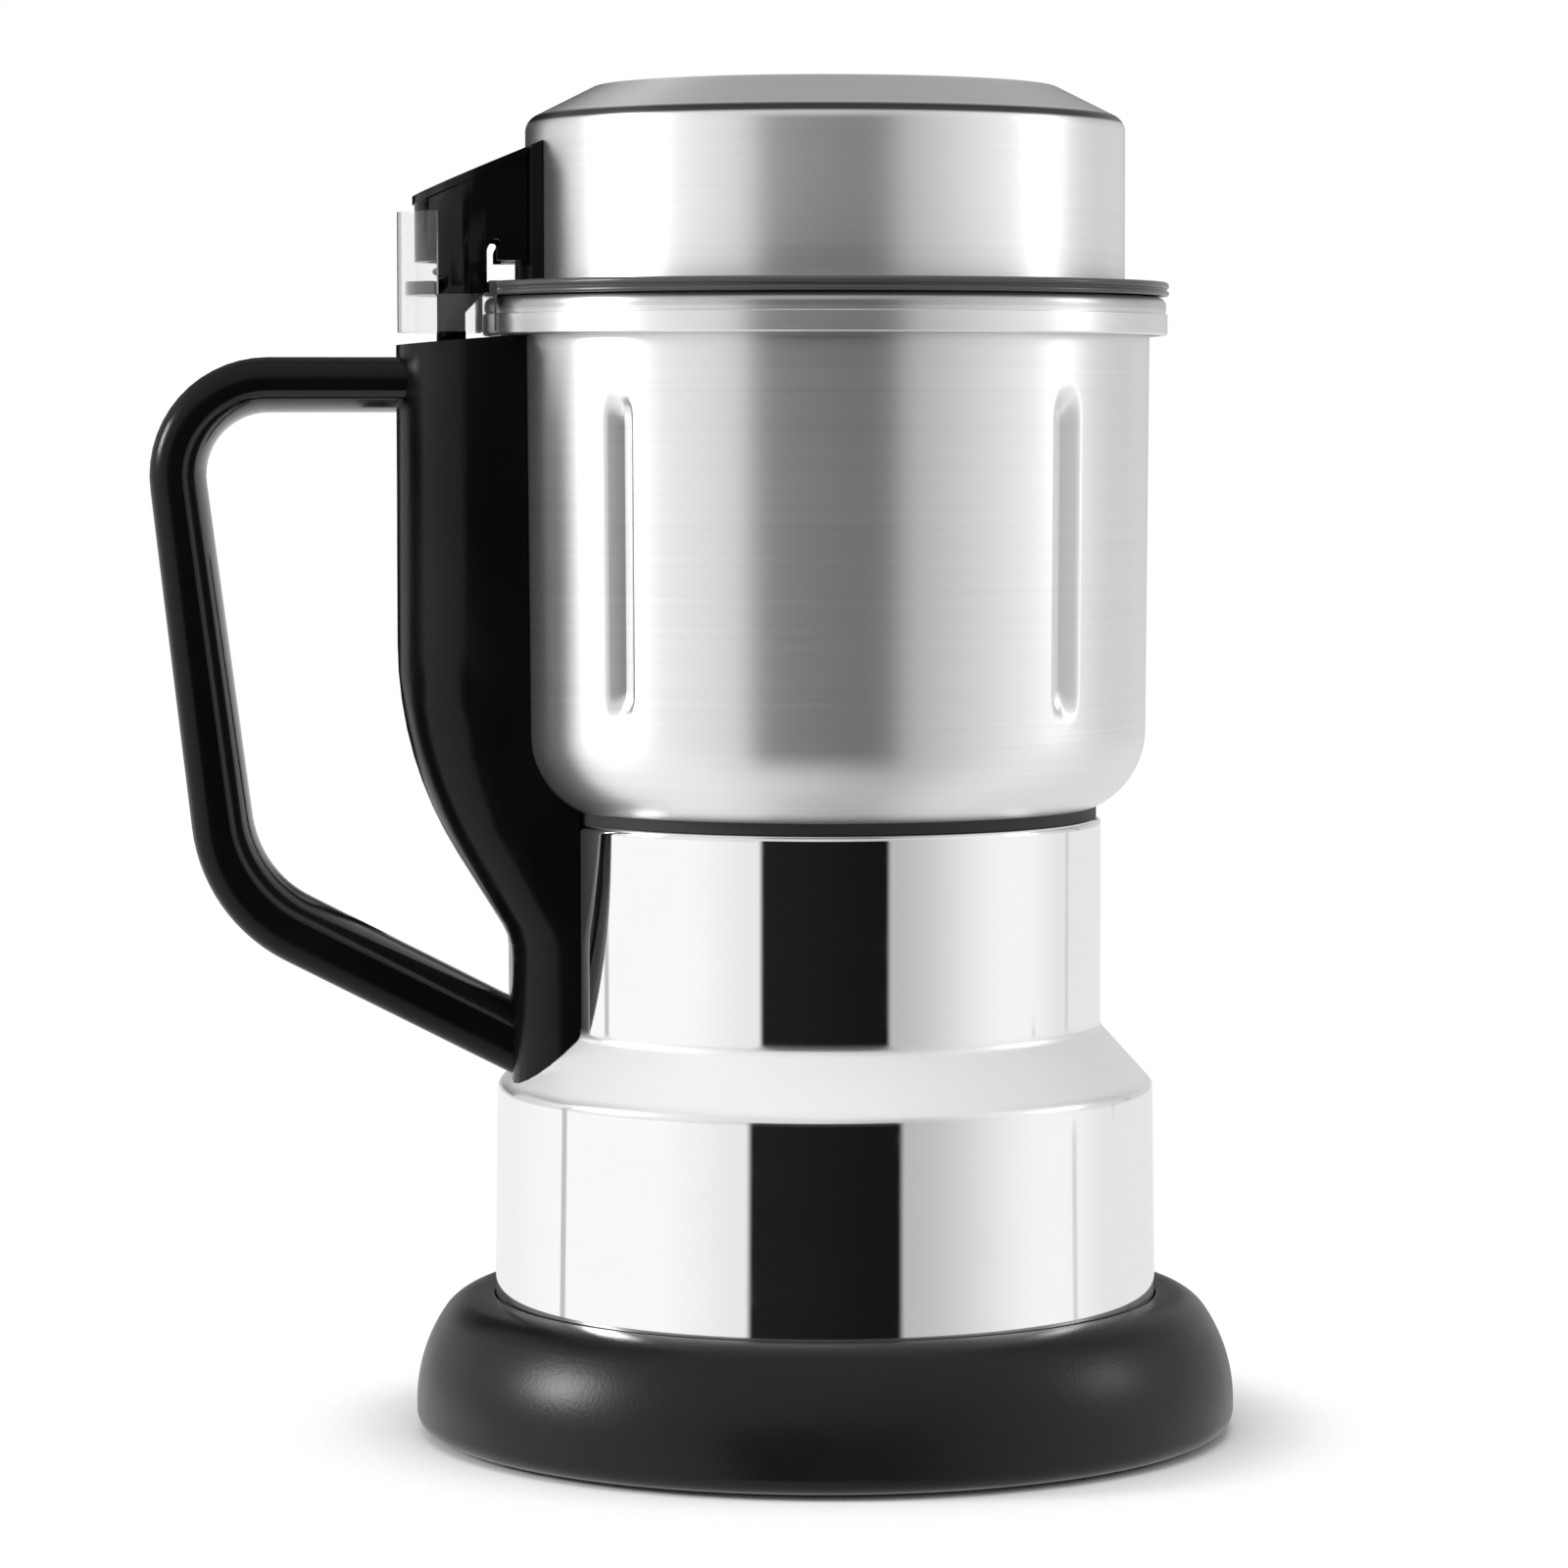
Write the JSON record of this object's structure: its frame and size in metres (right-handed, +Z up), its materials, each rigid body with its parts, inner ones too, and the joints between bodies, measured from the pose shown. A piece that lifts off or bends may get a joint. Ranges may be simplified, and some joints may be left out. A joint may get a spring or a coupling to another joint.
{
  "type": "electric spice grinder",
  "caption": "Electric spice grinder: steel bowl on a stepped motor housing, black column with a loop handle, and a lift-off lid whose press block works the safety switch.",
  "frame": {"origin": "on the table plane under the rubber foot, on the axis of motor, bowl and lid", "axes": "+Z up along the motor axis, -X towards the loop handle, and the handle and press block mirror in the XZ plane"},
  "size_m": [0.1573, 0.1205, 0.1958],
  "materials": {
    "black_plastic": "satin black moulded plastic, fine grain",
    "skirt_black": "matte black moulded plastic",
    "rubber_black": "soft black rubber",
    "polished_steel": "bright polished stainless steel sheet",
    "brushed_steel": "stainless steel with a fine turned brushing round the axis",
    "clear_plastic": "clear moulded plastic",
    "smoke_plastic": "dark grey gloss plastic",
    "white_rubber": "translucent silicone rubber",
    "zinc_steel": "zinc plated steel",
    "spring_steel": "spring steel wire",
    "blade_steel": "ground stainless blade steel",
    "cast_alloy": "plain die-cast alloy",
    "sintered_bronze": "oil-filled sintered bronze",
    "lamination": "stacked electrical steel sheets",
    "copper": "enamelled copper wire and bars",
    "card": "brown laminated insulating card",
    "brass_sheet": "drawn brass",
    "carbon": "pressed carbon",
    "cream_plastic": "cream moulded plastic",
    "wire_white": "white wire insulation",
    "fan_plastic": "black glass-filled plastic",
    "red_plastic": "red moulded plastic"
  },
  "bodies": {
    "motor_unit": {"base_skirt": "skirt_black", "bottom_cover": "black_plastic", "foot_ring": "rubber_black", "cover_screws": "zinc_steel", "cord_gland": "rubber_black", "motor_housing": "polished_steel", "bowl": "brushed_steel", "bowl_gasket": "rubber_black", "bowl_screws": "zinc_steel", "shaft_seal": "rubber_black", "upper_bracket": "cast_alloy", "rubber_mounts": "rubber_black", "upper_bearing": "sintered_bronze", "stator_core": "lamination", "field_coils": "copper", "lower_bracket": "cast_alloy", "lower_bearing": "sintered_bronze", "motor_bolts": "zinc_steel", "brush_card": "card", "brush_holders": "brass_sheet", "carbon_brushes": "carbon", "brush_springs": "spring_steel", "terminal_block": "cream_plastic", "switch_leads": "wire_white", "handle_column": "black_plastic", "column_screws": "zinc_steel", "handle_loop": "black_plastic", "handle_strip": "smoke_plastic", "microswitch": "fan_plastic", "plunger_spring": "spring_steel"},
    "rotor": {"motor_shaft": "zinc_steel", "rotor_core": "lamination", "rotor_windings": "copper", "commutator": "copper", "cooling_fan": "fan_plastic", "blade_hub": "blade_steel", "lower_blade": "blade_steel", "upper_blade": "blade_steel", "blade_nut": "blade_steel"},
    "lid": {"lid_shell": "brushed_steel", "lid_liner": "clear_plastic", "lid_collar": "smoke_plastic", "lid_seal": "white_rubber", "press_guard": "clear_plastic", "press_spring": "spring_steel"},
    "press": {"press_block": "black_plastic"},
    "plunger": {"safety_plunger": "cream_plastic"},
    "switch_button": {"switch_pin": "red_plastic"}
  },
  "joints": [
    {"name": "rotor_spin", "type": "hinge", "parent": "motor_unit", "child": "rotor", "pos_m": [0, 0, 0.06], "axis": [0, 0, 1], "continuous": true},
    {"name": "lid_lift", "type": "slide", "parent": "motor_unit", "child": "lid", "axis": [0, 0, 1], "range_m": [0, 0.1]},
    {"name": "press_down", "type": "slide", "parent": "lid", "child": "press", "axis": [0, 0, -1], "range_m": [0, 0.0019], "stiffness_N_per_m": 800, "springref_m": -0.002, "deforming": ["press_spring"]},
    {"name": "plunger_down", "type": "slide", "parent": "motor_unit", "child": "plunger", "axis": [0, 0, -1], "range_m": [0, 0.0019], "deforming": ["plunger_spring"]},
    {"name": "switch_pin_down", "type": "slide", "parent": "motor_unit", "child": "switch_button", "axis": [0, 0, -1], "range_m": [0, 0.0019]}
  ],
  "couplings": [
    {"joint": "plunger_down", "follows": "press_down", "ratio": 1},
    {"joint": "switch_pin_down", "follows": "press_down", "ratio": 1}
  ]
}
